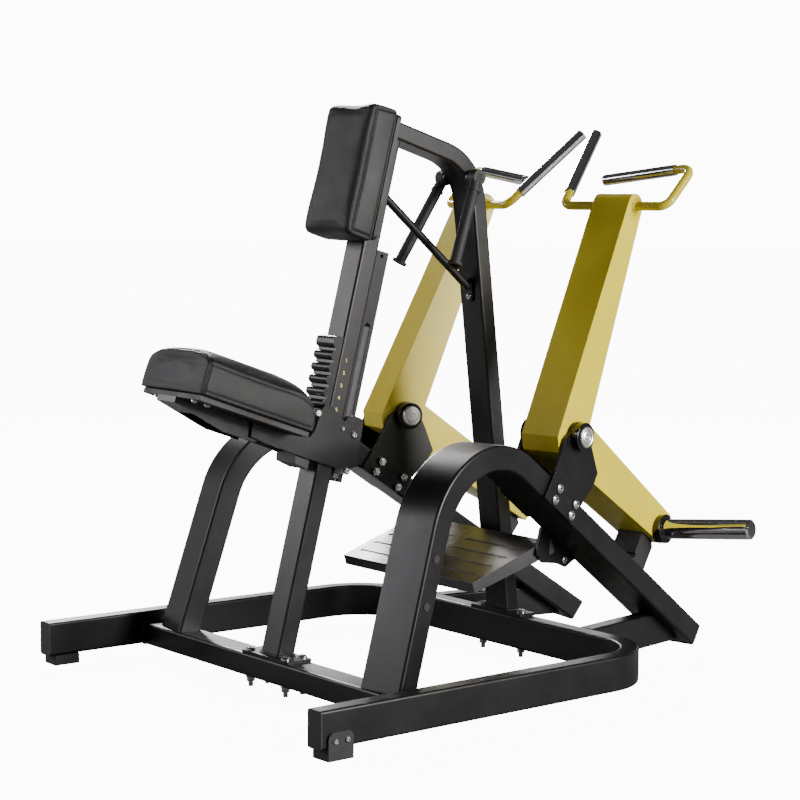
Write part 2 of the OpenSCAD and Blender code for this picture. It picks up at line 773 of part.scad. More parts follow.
// The cross tube runs a little way into the inner faces of the hangers
hanger_lap = 0.8;
hanger_x = arch_x - (cross_tube_y - arch_y) * tan(arch_toe) - arch_w / 2 / cos(arch_toe);
cross_tube_half = max(footplate_w / 2 - skirt_t, hanger_x + hanger_lap);
module on_cross_tube() {
    on_footplates() translate([0, cross_tube_l, -footplate_t - frame_tube / 2]) rotate([0, 90, 0])
        translate([0, 0, -cross_tube_half]) children();
}
module cross_tube_space() {
    on_cross_tube() linear_extrude(2 * cross_tube_half) square(frame_tube, center = true);
}
module footplate_frame() {
    color("#2b2b2b") {
        on_cross_tube() linear_extrude(2 * cross_tube_half) tube_section(frame_tube, frame_tube, tube_wall);
        for (side = [-1, 1]) difference() {
            at_pivot(side) difference() {
                slab(-arch_w / 2, -arch_w / 2 + hanger_t)
                    polygon([[140, strut_low_u], [160, strut_low_u - 64], [196, strut_low_u - 68],
                        [250, strut_low_u - 42], [284, strut_low_u - 34], [306, strut_low_u]]);
                translate([-arch_w, hanger_bolt[0], hanger_bolt[1]]) rotate([0, 90, 0])
                    cylinder(d = 10.6, h = 2 * arch_w);
            }
            on_side(side) side_skirt();
        }
    }
}
module footplate_bolts() {
    color("silver") for (side = [-1, 1]) at_pivot(side)
        translate([-arch_w / 2 + hanger_t, hanger_bolt[0], hanger_bolt[1]]) rotate([0, 90, 0])
        button_bolt(10, 20, 6, hanger_t);
}

// ---- seat carriage ----
module on_carriage(x0, x1) {
    translate([0, carriage_origin[0], carriage_origin[1]]) slab(x0, x1) children();
}
function on_seat(l, h) = seat_corner + l * seat_dir + h * seat_normal;
plate_shape = [[-204, 41], [-78, -8], [47, -51], [101, -50], [107, 7], [117, 55], [112, 64], [89, 73], [73, 71],
    [62, 60], [27, 96], [6, 104], [-4, 92], [-26, 42], [-40, 30], [-60, 32],
    on_seat(4, -board_t) - carriage_origin, on_seat(112, -board_t) - carriage_origin];
// Pins behind the post, as distances along the post from its foot
pin_len = [post_len_at(528), post_len_at(612)];
pin_y = post_d + slot_out;
module at_carriage_pins() {
    for (l = pin_len) on_post() translate([0, pin_y, l]) rotate([0, 90, 0]) children();
}
module carriage_plates() {
    color("#3c3c3c") difference() {
        for (x = [-carriage_x - carriage_t, carriage_x]) on_carriage(x, x + carriage_t) polygon(plate_shape);
        at_carriage_pins() cylinder(d = 10, h = 4 * carriage_x, center = true);
        on_post() translate([-2 * carriage_x, lock_bar_out, lock_bar_len]) rotate([0, 90, 0])
            cylinder(d = lock_bar_d, h = 4 * carriage_x);
        at_side_screws(1) translate([0, 0, -4 * carriage_x]) cylinder(d = 6, h = 8 * carriage_x);
    }
}
module at_side_screws(side) {
    on_side(side) translate([carriage_x + carriage_t, carriage_origin[0] + 55, carriage_origin[1] + 44])
        rotate([0, 90, 0]) children();
}
module carriage_rollers() {
    color("white") at_carriage_pins() difference() {
        cylinder(d = roller_d, h = 2 * carriage_x - 1, center = true);
        cylinder(d = 10, h = 2 * carriage_x, center = true);
    }
}
module carriage_screws() {
    half = carriage_x + carriage_t;
    color("silver") {
        at_carriage_pins() {
            cylinder(d = 10, h = 2 * half, center = true);
            for (f = [0, 180]) rotate([f, 0, 0]) translate([0, 0, half]) button_bolt(10, 17, 5, 1);
        }
        for (side = [-1, 1]) at_side_screws(side) button_bolt(6, 11, 4, carriage_t);
    }
}
// Block between the side plates, just in front of the rack's ribs
module carriage_glide() {
    color("black") on_post() translate([0, -rack_d - 1, post_len_at(carriage_z - 34)])
        slab(-carriage_x, carriage_x) polygon([[-44, 12], [-40, -12], [0, -20], [0, 32], [-30, 34]]);
}
lock_bar_d = 14;
lock_bar_out = -rack_d - lock_bar_d / 2 - 0.6;
lock_bar_len = post_len_at(carriage_z + 76);
module lock_bar() {
    color("silver") on_post() translate([-carriage_x - carriage_t, lock_bar_out, lock_bar_len])
        rotate([0, 90, 0]) cylinder(d = lock_bar_d, h = 2 * (carriage_x + carriage_t));
}

module seat_block(x0, x1, l0, l1, h0, h1) {
    slab(x0, x1) polygon([on_seat(l0, h0), on_seat(l0, h1), on_seat(l1, h1), on_seat(l1, h0)]);
}
module at_seat_screws() {
    for (x = [-1, 1], f = [0.82, 0.93]) let (p = on_seat(seat_len * f, -board_t))
        translate([x * (seat_w / 2 - 52), p[0], p[1]]) rotate([180 - seat_slope, 0, 0]) children();
}
module seat_board() {
    color("black") difference() {
        seat_block(-seat_w / 2 + 12, seat_w / 2 - 12, 4, seat_len - 8, -board_t, 0);
        at_seat_screws() translate([0, 0, -2 * board_t]) cylinder(d = 8.4, h = 4 * board_t);
    }
}
module seat_underframe() {
    w = carriage_x;
    under = [on_seat(seat_len * 0.26, -board_t), on_seat(seat_len + 2, -board_t),
        on_seat(seat_len + 2, -board_t - 14), on_seat(seat_len * 0.55, -board_t - 42),
        on_seat(seat_len * 0.26, -board_t - 42)];
    color("black") difference() {
        slab(-w, w) polygon(under);
        slab(-w + 4, w - 4) polygon([on_seat(seat_len * 0.2, -board_t - 5), on_seat(seat_len - 4, -board_t - 5),
            on_seat(seat_len * 0.55, -board_t - 60), on_seat(seat_len * 0.2, -board_t - 60)]);
    }
}
module seat_screws() {
    color("silver") at_seat_screws() button_bolt(8, 16, 5, board_t);
}
module seat_pad() {
    rear_cut = 36;
    side_cut = 22;
    color("#222222") difference() {
        slab(-seat_w / 2, seat_w / 2) polygon([on_seat(0, 0), on_seat(0, seat_t - rear_cut),
            on_seat(rear_cut, seat_t), on_seat(seat_len, seat_t), on_seat(seat_len, 0)]);
        for (side = [-1, 1]) on_side(side)
            seat_block(seat_w / 2 - side_cut, seat_w, -10, seat_len + 10, seat_t - side_cut, seat_t + 10);
    }
}

// ---- arms ----
function head_tangent(from, side) =
    let (v = from - arm_head, d = norm(v), t = unit(v), n = [-t[1], t[0]] * side,
         c = arm_head_r / d) arm_head + arm_head_r * (c * t + sqrt(1 - c * c) * n);
// The arm's outline, anticlockwise, with the head's arc in steps
head_from = head_tangent(lever_top, 1) - arm_head;
head_to = head_tangent(arm_fold, -1) - arm_head;
head_sweep = acos(unit(head_from) * unit(head_to));
arm_shape = concat([arm_fold, [lever_low_a, lever_low_u], [lever_end_a, lever_low(lever_end_a)],
    [lever_end_a, lever_tip_u], lever_top],
    [for (i = [0:10]) arm_head
        + (head_from * sin(head_sweep * (1 - i / 10)) + head_to * sin(head_sweep * i / 10)) / sin(head_sweep)]);
head_boss_d = 36;
hub_tube_d = 48;
module horn_space(side_x) {
    translate([side_x, horn_at[0], horn_at[1]]) rotate([0, 90 - horn_tilt, 0]) children();
}
module arm(side) {
    color("#b8a53a") at_pivot(side) difference() {
        union() {
            difference() {
                slab(-arm_w / 2, arm_w / 2) polygon(arm_shape);
                slab(-arm_w / 2 + wall_arm, arm_w / 2 - wall_arm) polygon(inset(arm_shape, wall_arm));
            }
            rotate([0, 90, 0]) cylinder(d = hub_tube_d, h = arm_w, center = true);
            translate([0, arm_head[0], arm_head[1]]) rotate([0, 90, 0])
                cylinder(d = head_boss_d, h = arm_w, center = true);
        }
        rotate([0, 90, 0]) cylinder(d = shaft_d, h = 2 * arm_w, center = true);
        translate([0, arm_head[0], arm_head[1]]) rotate([0, 90, 0])
            cylinder(d = rod_d, h = 2 * arm_w, center = true);
    }
}
module arm_right() { arm(1); }
module arm_left() { arm(-1); }

module shaft(side) {
    half = bearing_out + 1;
    color("silver") at_pivot(side) {
        rotate([0, 90, 0]) cylinder(d = shaft_d, h = 2 * half, center = true);
        for (f = [-1, 1]) rotate([0, f * 90, 0]) {
            translate([0, 0, half]) cylinder(d = bearing_d - 4, h = cap_t);
            translate([0, 0, half + cap_t]) cylinder(d = 16, h = 2);
            translate([0, 0, arm_w / 2]) cylinder(d = shaft_d + 8, h = bearing_in - arm_w / 2 - clear);
        }
    }
}
module shaft_right() { shaft(1); }
module shaft_left() { shaft(-1); }

// Handle rod corners, in the arm plane from the centre of the arm's head: [across, rearward, up]
handle_in = [[-162, 0, 0], [-207, 197, 183]];
handle_out = [[143, 0, 0], [157, 91, 94], [-103, 91, 63]];
grip_in_len = 226;
grip_out_len = 210;
rod_bend_r = 26;
module at_head(side) {
    at_pivot(side) translate([0, arm_head[0], arm_head[1]]) rotate([strut_slope, 0, 0]) children();
}
function short_of(a, b, back) = b - back * unit(b - a);
module handle(side) {
    color("#b8a53a") at_head(side) rod(rounded_path([short_of(handle_in[0], handle_in[1], 8), handle_in[0],
        handle_out[0], handle_out[1], short_of(handle_out[1], handle_out[2], 8)], rod_bend_r, 6), rod_d);
}
module handle_right() { handle(1); }
module handle_left() { handle(-1); }

// Closed-end sleeve over the last part of the rod that runs from a to b
module grip_sleeve(a, b, len) {
    difference() {
        bar(short_of(a, b, len), b, grip_d);
        bar(short_of(a, b, len + 2), short_of(a, b, 6), rod_d + 0.2);
    }
}
module grips(side) {
    color("silver") at_head(side) {
        grip_sleeve(handle_in[0], handle_in[1], grip_in_len);
        grip_sleeve(handle_out[1], handle_out[2], grip_out_len);
    }
}
module grips_right() { grips(1); }
module grips_left() { grips(-1); }

collar_d = 72;
collar_t = 18;
horn_wall = 4;
// The horn is turned down by this much inside its collar
horn_step = 4;
module horn(side) {
    color("silver") at_pivot(side) difference() {
        horn_space(arm_w / 2) difference() {
            union() {
                translate([0, 0, -collar_t]) cylinder(d = horn_d - horn_step, h = 2 * collar_t);
                translate([0, 0, collar_t]) cylinder(d = horn_d, h = horn_len - 4);
                translate([0, 0, horn_len + collar_t - 4]) cylinder(d1 = horn_d, d2 = horn_d - 8, h = 4);
            }
            translate([0, 0, -horn_d])
                cylinder(d = horn_d - horn_step - 2 * horn_wall, h = horn_len + horn_d + collar_t - 12);
        }
        translate([arm_w / 2 - horn_d, -lever_end_a, -horn_d * 2])
            cube([horn_d, 2 * lever_end_a + horn_d, horn_d * 4]);
    }
}
module horn_right() { horn(1); }
module horn_left() { horn(-1); }

module horn_collar(side) {
    color("black") at_pivot(side) difference() {
        horn_space(arm_w / 2) difference() {
            translate([0, 0, -collar_t]) cylinder(d = collar_d, h = 2 * collar_t);
            translate([0, 0, -2 * collar_t]) cylinder(d = horn_d - horn_step, h = 4 * collar_t);
        }
        translate([arm_w / 2 - collar_d, -lever_end_a, -collar_d])
            cube([collar_d, 3 * lever_end_a, 2 * collar_d]);
    }
}

module horn_collar_right() { horn_collar(1); }
module horn_collar_left() { horn_collar(-1); }

// Middle of the machine's depth, from the front caps to the rear strut caps' outer corner
cap_reach = [sin(arch_toe), cos(arch_toe) * strut_up[0]];
front_y = -cap_out - tube_corner_r * sin(side_angle);
rear_y = arch_y + (strut_end[0] + cap_out * strut_dir[0]) * cos(arch_toe) + tube_corner_r * norm(cap_reach)
    + [arch_w / 2 - tube_corner_r, arch_t / 2 - tube_corner_r] * cap_reach;
mid_y = (front_y + rear_y) / 2;

module centred() { translate([0, -mid_y, 0]) children(); }

centred() base_tube();
centred() front_crossbar();
centred() tail_tubes();
centred() arch_right();
centred() arch_left();
centred() arch_plugs();
centred() strut_caps();
centred() base_end_caps();
centred() front_feet();
centred() foot_screws();
centred() rear_feet();
centred() front_post();
centred() post_plate();
centred() post_bolts();
centred() guide_fin();
centred() seat_rack();
centred() spine();
centred() spine_plate();
centred() spine_bolts();
centred() brace_rod();
centred() brace_bolts();
centred() chest_board();
centred() chest_pad();
centred() grip_axle();
centred() support_grip_right();
centred() support_grip_left();
centred() brackets_right();
centred() brackets_left();
centred() bracket_bolts_right();
centred() bracket_bolts_left();
centred() bearings_right();
centred() bearings_left();
centred() stop_blocks();
centred() footplate_right();
centred() footplate_left();
centred() footplate_frame();
centred() footplate_bolts();
centred() carriage_plates();
centred() carriage_rollers();
centred() carriage_screws();
centred() carriage_glide();
centred() lock_bar();
centred() seat_underframe();
centred() seat_board();
centred() seat_screws();
centred() seat_pad();
centred() arm_right();
centred() arm_left();
centred() shaft_right();
centred() shaft_left();
centred() handle_right();
centred() handle_left();
centred() grips_right();
centred() grips_left();
centred() horn_right();
centred() horn_left();
centred() horn_collar_right();
centred() horn_collar_left();
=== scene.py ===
# Plate-loaded seated row: looks around the fixed CAD frame. Metres, +Z up, the user faces +Y.
import json
import math

import bpy
import numpy as np
from mathutils import Matrix, Vector, kdtree
from mathutils.bvhtree import BVHTree


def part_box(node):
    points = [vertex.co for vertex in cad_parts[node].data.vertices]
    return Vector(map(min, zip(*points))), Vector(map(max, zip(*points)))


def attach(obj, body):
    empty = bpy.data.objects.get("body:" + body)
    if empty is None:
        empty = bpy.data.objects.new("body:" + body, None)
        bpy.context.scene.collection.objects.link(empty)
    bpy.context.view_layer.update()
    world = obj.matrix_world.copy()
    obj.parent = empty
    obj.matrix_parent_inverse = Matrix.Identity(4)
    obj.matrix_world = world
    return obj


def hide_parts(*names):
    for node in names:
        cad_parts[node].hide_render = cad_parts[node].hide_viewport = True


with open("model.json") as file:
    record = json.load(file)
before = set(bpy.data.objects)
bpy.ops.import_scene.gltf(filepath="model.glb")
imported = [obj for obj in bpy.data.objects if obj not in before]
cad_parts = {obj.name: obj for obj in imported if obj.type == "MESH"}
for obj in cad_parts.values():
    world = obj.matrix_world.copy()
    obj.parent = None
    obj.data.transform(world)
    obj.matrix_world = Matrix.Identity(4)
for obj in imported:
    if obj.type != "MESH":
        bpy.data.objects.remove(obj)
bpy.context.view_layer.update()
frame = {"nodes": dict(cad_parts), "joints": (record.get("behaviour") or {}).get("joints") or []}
nodes = frame["nodes"]
joints = {j["name"]: j for j in frame["joints"]}
print("frame loaded:", len(nodes), "nodes")


def addObject(name, mesh, body, material, smooth=True):
    piece = bpy.data.objects.new(name, mesh)
    bpy.context.scene.collection.objects.link(piece)
    if material:
        mesh.materials.clear()
        mesh.materials.append(material)
    if smooth:
        mesh.polygons.foreach_set("use_smooth", [True] * len(mesh.polygons))
    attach(piece, body)
    return piece


def meshFrom(name, verts, faces):
    mesh = bpy.data.meshes.new(name)
    mesh.from_pydata([tuple(v) for v in verts], [], faces)
    mesh.update()
    return mesh


def sweep(path, radius, sides=8, closed=False, ripple=0.0, pitch=0.004):
    points = [Vector(p) for p in path]
    count = len(points)
    verts, faces = [], []
    up, travelled = None, 0.0
    for i, p in enumerate(points):
        before = points[i - 1] if (i or closed) else p
        after = points[(i + 1) % count] if (i < count - 1 or closed) else p
        along = (after - before).normalized()
        if up is None:
            up = along.orthogonal().normalized()
        up = (up - along * up.dot(along)).normalized()
        side = along.cross(up)
        if i:
            travelled += (p - points[i - 1]).length
        r = radius * (1 + ripple * math.sin(2 * math.pi * travelled / pitch))
        for k in range(sides):
            a = 2 * math.pi * k / sides
            verts.append(p + r * (up * math.cos(a) + side * math.sin(a)))
    for i in range(count if closed else count - 1):
        j = (i + 1) % count
        for k in range(sides):
            m = (k + 1) % sides
            faces.append((i * sides + k, i * sides + m, j * sides + m, j * sides + k))
    if not closed:
        faces.append(tuple(range(sides - 1, -1, -1)))
        faces.append(tuple((count - 1) * sides + k for k in range(sides)))
    return verts, faces


def resample(path, step, closed=False):
    points = [Vector(p) for p in path]
    if closed:
        points.append(points[0])
    out = []
    for a, b in zip(points, points[1:]):
        pieces = max(1, int((b - a).length / step))
        out += [a.lerp(b, i / pieces) for i in range(pieces)]
    if not closed:
        out.append(points[-1])
    return out


def lathe(profile, origin, axis, sides=48):
    axis = Vector(axis).normalized()
    u = axis.orthogonal().normalized()
    w = axis.cross(u)
    verts, faces = [], []
    for r, h in profile:
        for k in range(sides):
            a = 2 * math.pi * k / sides
            verts.append(Vector(origin) + axis * h + r * (u * math.cos(a) + w * math.sin(a)))
    for i in range(len(profile) - 1):
        for k in range(sides):
            m = (k + 1) % sides
            faces.append((i * sides + k, i * sides + m, (i + 1) * sides + m, (i + 1) * sides + k))
    faces.append(tuple(range(sides - 1, -1, -1)))
    faces.append(tuple((len(profile) - 1) * sides + k for k in range(sides)))
    return verts, faces


def newGroup(name, inputs, outputs):
    group = bpy.data.node_groups.new(name, "ShaderNodeTree")
    for label, kind, value in inputs:
        socket = group.interface.new_socket(label, in_out="INPUT", socket_type=kind)
        socket.default_value = value
    for label, kind in outputs:
        group.interface.new_socket(label, in_out="OUTPUT", socket_type=kind)
    return group, group.nodes.new("NodeGroupInput"), group.nodes.new("NodeGroupOutput")


def noiseNode(tree, scale, detail=3.0, rough=0.5):
    node = tree.nodes.new("ShaderNodeTexNoise")
    node.inputs["Scale"].default_value = scale
    node.inputs["Detail"].default_value = detail
    node.inputs["Roughness"].default_value = rough
    return node


def mathNode(tree, operation, a=None, b=None):
    node = tree.nodes.new("ShaderNodeMath")
    node.operation = operation
    for i, value in enumerate((a, b)):
        if hasattr(value, "is_output"):
            tree.links.new(value, node.inputs[i])
        elif value is not None:
            node.inputs[i].default_value = value
    return node


def rangeNode(tree, value, lowIn, highIn, lowOut, highOut):
    node = tree.nodes.new("ShaderNodeMapRange")
    tree.links.new(value, node.inputs["Value"])
    for label, v in (("From Min", lowIn), ("From Max", highIn), ("To Min", lowOut), ("To Max", highOut)):
        node.inputs[label].default_value = v
    return node


# Powder coat: fine orange peel, cloudy handling marks, a few dust specks, softened edges
coatPattern = {"peelScale": 700.0, "peelDetail": 2.0, "cloudScale": 7.0, "cloudDetail": 6.0,
               "cloudRough": 0.62, "cloudRange": (0.32, 0.7), "speckScale": 420.0, "speckRange": (0.7, 0.78),
               "bump": 0.0004, "edgeSamples": 3}


def makeCoatGroup(s):
    group, gin, gout = newGroup(
        "coatSurface",
        [("Peel Scale", "NodeSocketFloat", s["peelScale"]), ("Peel Depth", "NodeSocketFloat", 0.15),
         ("Cloud Scale", "NodeSocketFloat", s["cloudScale"]), ("Edge Radius", "NodeSocketFloat", 0.002)],
        [("Clouds", "NodeSocketFloat"), ("Specks", "NodeSocketFloat"), ("Normal", "NodeSocketVector")])
    link = group.links.new
    place = group.nodes.new("ShaderNodeTexCoord").outputs["Object"]
    peel = noiseNode(group, s["peelScale"], s["peelDetail"])
    clouds = noiseNode(group, s["cloudScale"], s["cloudDetail"], s["cloudRough"])
    specks = noiseNode(group, s["speckScale"], 1.0)
    for node in (peel, clouds, specks):
        link(place, node.inputs["Vector"])
    link(gin.outputs["Peel Scale"], peel.inputs["Scale"])
    link(gin.outputs["Cloud Scale"], clouds.inputs["Scale"])
    soft = rangeNode(group, clouds.outputs["Fac"], *s["cloudRange"], 0.0, 1.0)
    dust = rangeNode(group, specks.outputs["Fac"], *s["speckRange"], 0.0, 1.0)
    edge = group.nodes.new("ShaderNodeBevel")
    edge.samples = s["edgeSamples"]
    link(gin.outputs["Edge Radius"], edge.inputs["Radius"])
    bump = group.nodes.new("ShaderNodeBump")
    bump.inputs["Distance"].default_value = s["bump"]
    link(gin.outputs["Peel Depth"], bump.inputs["Strength"])
    link(peel.outputs["Fac"], bump.inputs["Height"])
    link(edge.outputs["Normal"], bump.inputs["Normal"])
    link(soft.outputs["Result"], gout.inputs["Clouds"])
    link(dust.outputs["Result"], gout.inputs["Specks"])
    link(bump.outputs["Normal"], gout.inputs["Normal"])
    return group


# Embossed leather grain: small cells with soft valleys, and broad creasing
leatherPattern = {"valley": 0.22, "creaseScale": 38.0, "creaseDetail": 5.0, "creaseRough": 0.6,
                  "creaseHeight": 0.8, "cloudScale": 9.0, "cloudDetail": 4.0,
                  "cloudRange": (0.35, 0.68), "bump": 0.0005}


def makeLeatherGroup(s):
    group, gin, gout = newGroup(
        "leatherGrain",
        [("Cell Scale", "NodeSocketFloat", 900.0), ("Depth", "NodeSocketFloat", 0.3)],
        [("Pores", "NodeSocketFloat"), ("Clouds", "NodeSocketFloat"), ("Normal", "NodeSocketVector")])
    link = group.links.new
    place = group.nodes.new("ShaderNodeTexCoord").outputs["Object"]
    cells = group.nodes.new("ShaderNodeTexVoronoi")
    cells.feature = "DISTANCE_TO_EDGE"
    link(place, cells.inputs["Vector"])
    link(gin.outputs["Cell Scale"], cells.inputs["Scale"])
    valleys = rangeNode(group, cells.outputs["Distance"], 0.0, s["valley"], 0.0, 1.0)
    creases = noiseNode(group, s["creaseScale"], s["creaseDetail"], s["creaseRough"])
    clouds = noiseNode(group, s["cloudScale"], s["cloudDetail"])
    link(place, creases.inputs["Vector"])
    link(place, clouds.inputs["Vector"])
    height = mathNode(group, "MULTIPLY_ADD", creases.outputs["Fac"], s["creaseHeight"])
    link(valleys.outputs["Result"], height.inputs[2])
    bump = group.nodes.new("ShaderNodeBump")
    bump.inputs["Distance"].default_value = s["bump"]
    link(gin.outputs["Depth"], bump.inputs["Strength"])
    link(height.outputs[0], bump.inputs["Height"])
    link(valleys.outputs["Result"], gout.inputs["Pores"])
    soft = rangeNode(group, clouds.outputs["Fac"], *s["cloudRange"], 0.0, 1.0)
    link(soft.outputs["Result"], gout.inputs["Clouds"])
    link(bump.outputs["Normal"], gout.inputs["Normal"])
    return group


coatGroup = makeCoatGroup(coatPattern)
leatherGroup = makeLeatherGroup(leatherPattern)


def newMaterial(name, settings):
    material = bpy.data.materials.new(name)
    material.use_nodes = True
    tree = material.node_tree
    shader = tree.nodes["Principled BSDF"]
    shader.inputs["Metallic"].default_value = settings.get("metallic", 0.0)
    shader.inputs["Specular IOR Level"].default_value = settings.get("specular", 0.5)
    shader.inputs["Coat Weight"].default_value = settings.get("coat", 0.0)
    shader.inputs["Coat Roughness"].default_value = settings.get("coatRough", 0.2)
    shader.inputs["Sheen Weight"].default_value = settings.get("sheen", 0.0)
    return material, tree, shader


def blendColours(tree, factor, dark, light):
    mix = tree.nodes.new("ShaderNodeMix")
    mix.data_type = "RGBA"
    tree.links.new(factor, mix.inputs["Factor"])
    mix.inputs["A"].default_value = (*dark, 1)
    mix.inputs["B"].default_value = (*light, 1)
    return mix.outputs["Result"]


def coatMaterial(name, settings):
    material, tree, shader = newMaterial(name, settings)
    link = tree.links.new
    surface = tree.nodes.new("ShaderNodeGroup")
    surface.node_tree = coatGroup
    surface.inputs["Peel Scale"].default_value = settings.get("peelScale", 700.0)
    surface.inputs["Peel Depth"].default_value = settings.get("peelDepth", 0.15)
    surface.inputs["Cloud Scale"].default_value = settings.get("cloudScale", 7.0)
    surface.inputs["Edge Radius"].default_value = settings.get("edge", 0.002)
    base = blendColours(tree, surface.outputs["Clouds"], settings["dark"], settings["light"])
    dusty = tree.nodes.new("ShaderNodeMix")
    dusty.data_type = "RGBA"
    link(rangeNode(tree, surface.outputs["Specks"], 0, 1, 0, settings.get("dust", 0.25)).outputs["Result"],
         dusty.inputs["Factor"])
    link(base, dusty.inputs["A"])
    dusty.inputs["B"].default_value = (*settings.get("speck", settings["light"]), 1)
    link(dusty.outputs["Result"], shader.inputs["Base Color"])
    low, high = settings["rough"]
    worn = rangeNode(tree, surface.outputs["Clouds"], 0, 1, low, high)
    link(worn.outputs["Result"], shader.inputs["Roughness"])
    link(surface.outputs["Normal"], shader.inputs["Normal"])
    return material


def leatherMaterial(name, settings):
    material, tree, shader = newMaterial(name, settings)
    link = tree.links.new
    grain = tree.nodes.new("ShaderNodeGroup")
    grain.node_tree = leatherGroup
    grain.inputs["Cell Scale"].default_value = settings["cells"]
    grain.inputs["Depth"].default_value = settings["depth"]
    low, high = settings["rough"]
    worn = rangeNode(tree, grain.outputs["Clouds"], 0, 1, low, high)
    pores = rangeNode(tree, grain.outputs["Pores"], 0, 1, settings.get("poreRough", 0.12), 0.0)
    base = blendColours(tree, grain.outputs["Pores"], settings["dark"], settings["light"])
    link(base, shader.inputs["Base Color"])
    total = mathNode(tree, "ADD", worn.outputs["Result"], pores.outputs["Result"])
    link(total.outputs[0], shader.inputs["Roughness"])
    link(grain.outputs["Normal"], shader.inputs["Normal"])
    return material


coats = {
    "blackCoat": {"dark": (0.0042, 0.0038, 0.0043), "light": (0.0068, 0.0060, 0.0068), "rough": (0.30, 0.40),
                  "peelDepth": 0.22, "speck": (0.03, 0.03, 0.033), "dust": 0.2, "edge": 0.0016,
                  "specular": 0.34},
    "plateCoat": {"dark": (0.0045, 0.0044, 0.0048), "light": (0.0075, 0.0072, 0.0078), "rough": (0.28, 0.38),
                  "peelDepth": 0.2, "speck": (0.03, 0.03, 0.033), "dust": 0.2, "edge": 0.0012,
                  "specular": 0.3},
    "footplateCoat": {"dark": (0.012, 0.0115, 0.0125), "light": (0.020, 0.019, 0.021), "rough": (0.34, 0.46),
                      "peelDepth": 0.55, "peelScale": 420.0, "speck": (0.07, 0.07, 0.075), "dust": 0.3,
                      "edge": 0.0022, "specular": 0.6},
    "mustardCoat": {"dark": (0.52, 0.425, 0.016), "light": (0.60, 0.49, 0.026), "rough": (0.32, 0.40),
                    "peelDepth": 0.14, "cloudScale": 4.0, "speck": (0.66, 0.56, 0.08), "dust": 0.1,
                    "edge": 0.0028, "specular": 0.35, "coat": 0.06, "coatRough": 0.2},
    "mustardGloss": {"dark": (0.46, 0.37, 0.018), "light": (0.50, 0.41, 0.024), "rough": (0.2, 0.28),
                     "peelDepth": 0.05, "cloudScale": 8.0, "edge": 0.001, "dust": 0.0, "coat": 0.25,
                     "coatRough": 0.15},
    "glossBlack": {"dark": (0.004, 0.004, 0.0043), "light": (0.007, 0.007, 0.0075), "rough": (0.12, 0.2),
                   "peelDepth": 0.05, "edge": 0.003, "coat": 0.3, "coatRough": 0.1},
    "mouldedBlack": {"dark": (0.005, 0.005, 0.0053), "light": (0.009, 0.009, 0.0095), "rough": (0.45, 0.6),
                     "peelDepth": 0.5, "peelScale": 1100.0, "edge": 0.0016},
    "rubberBlack": {"dark": (0.0045, 0.0045, 0.0048), "light": (0.008, 0.0078, 0.008), "rough": (0.55, 0.75),
                    "peelDepth": 0.6, "peelScale": 1500.0, "speck": (0.035, 0.034, 0.032), "dust": 0.25,
                    "edge": 0.0025},
    "boardBlack": {"dark": (0.006, 0.0052, 0.005), "light": (0.012, 0.010, 0.009), "rough": (0.5, 0.7),
                   "peelDepth": 0.5, "peelScale": 300.0, "edge": 0.0015},
    "nylonWhite": {"dark": (0.60, 0.60, 0.57), "light": (0.72, 0.72, 0.70), "rough": (0.3, 0.4),
                   "edge": 0.001},
    "zincSteel": {"dark": (0.50, 0.50, 0.51), "light": (0.66, 0.66, 0.67), "rough": (0.2, 0.34),
                  "metallic": 1.0, "peelDepth": 0.1, "cloudScale": 60.0, "edge": 0.0008},
    "turnedSteel": {"dark": (0.66, 0.66, 0.67), "light": (0.78, 0.78, 0.78), "rough": (0.30, 0.40),
                    "metallic": 1.0, "peelDepth": 0.05, "cloudScale": 40.0, "edge": 0.001},
    "polishedChrome": {"dark": (0.60, 0.59, 0.60), "light": (0.70, 0.69, 0.70), "rough": (0.06, 0.12),
                       "metallic": 1.0, "peelDepth": 0.02, "cloudScale": 30.0, "edge": 0.001},
    "numberPaint": {"dark": (0.60, 0.45, 0.05), "light": (0.72, 0.56, 0.08), "rough": (0.4, 0.5),
                    "edge": 0.0002},
}
leathers = {
    "padLeather": {"dark": (0.0040, 0.0040, 0.0043), "light": (0.0085, 0.0083, 0.0090), "rough": (0.40, 0.50),
                   "cells": 620.0, "depth": 0.38, "specular": 0.38, "sheen": 0.01},
    "seamThread": {"dark": (0.005, 0.005, 0.005), "light": (0.010, 0.010, 0.011), "rough": (0.45, 0.55),
                   "cells": 1500.0, "depth": 0.3},
}
materials = {name: coatMaterial(name, s) for name, s in coats.items()}
materials.update({name: leatherMaterial(name, s) for name, s in leathers.items()})
print("materials made:", len(materials))

nodeFinish = {
    "blackCoat": ["base_tube", "front_crossbar", "tail_tubes", "arch_right", "arch_left", "front_post",
                  "spine", "footplate_frame", "brace_rod", "grip_axle"],
    "plateCoat": ["post_plate", "guide_fin", "spine_plate", "brackets_right", "brackets_left",
                  "carriage_plates", "seat_underframe", "seat_rack"],
    "footplateCoat": ["footplate_right", "footplate_left"],
    "mustardCoat": ["arm_right", "arm_left"],
    "mustardGloss": ["handle_right", "handle_left"],
    "glossBlack": ["bearings_right", "bearings_left", "horn_collar_right", "horn_collar_left"],
    "mouldedBlack": ["arch_plugs", "strut_caps", "base_end_caps", "carriage_glide"],
    "rubberBlack": ["front_feet", "rear_feet", "stop_blocks", "support_grip_right", "support_grip_left"],
    "boardBlack": ["chest_board", "seat_board"],
    "nylonWhite": ["carriage_rollers"],
    "zincSteel": ["foot_screws", "post_bolts", "spine_bolts", "brace_bolts", "bracket_bolts_right",
                  "bracket_bolts_left", "footplate_bolts", "carriage_screws", "seat_screws", "lock_bar"],
    "turnedSteel": ["shaft_right", "shaft_left"],
    "polishedChrome": ["grips_right", "grips_left", "horn_right", "horn_left"],
}
for finish, names in nodeFinish.items():
    for name in names:
        for place in nodes[name].material_slots:
            place.material = materials[finish]
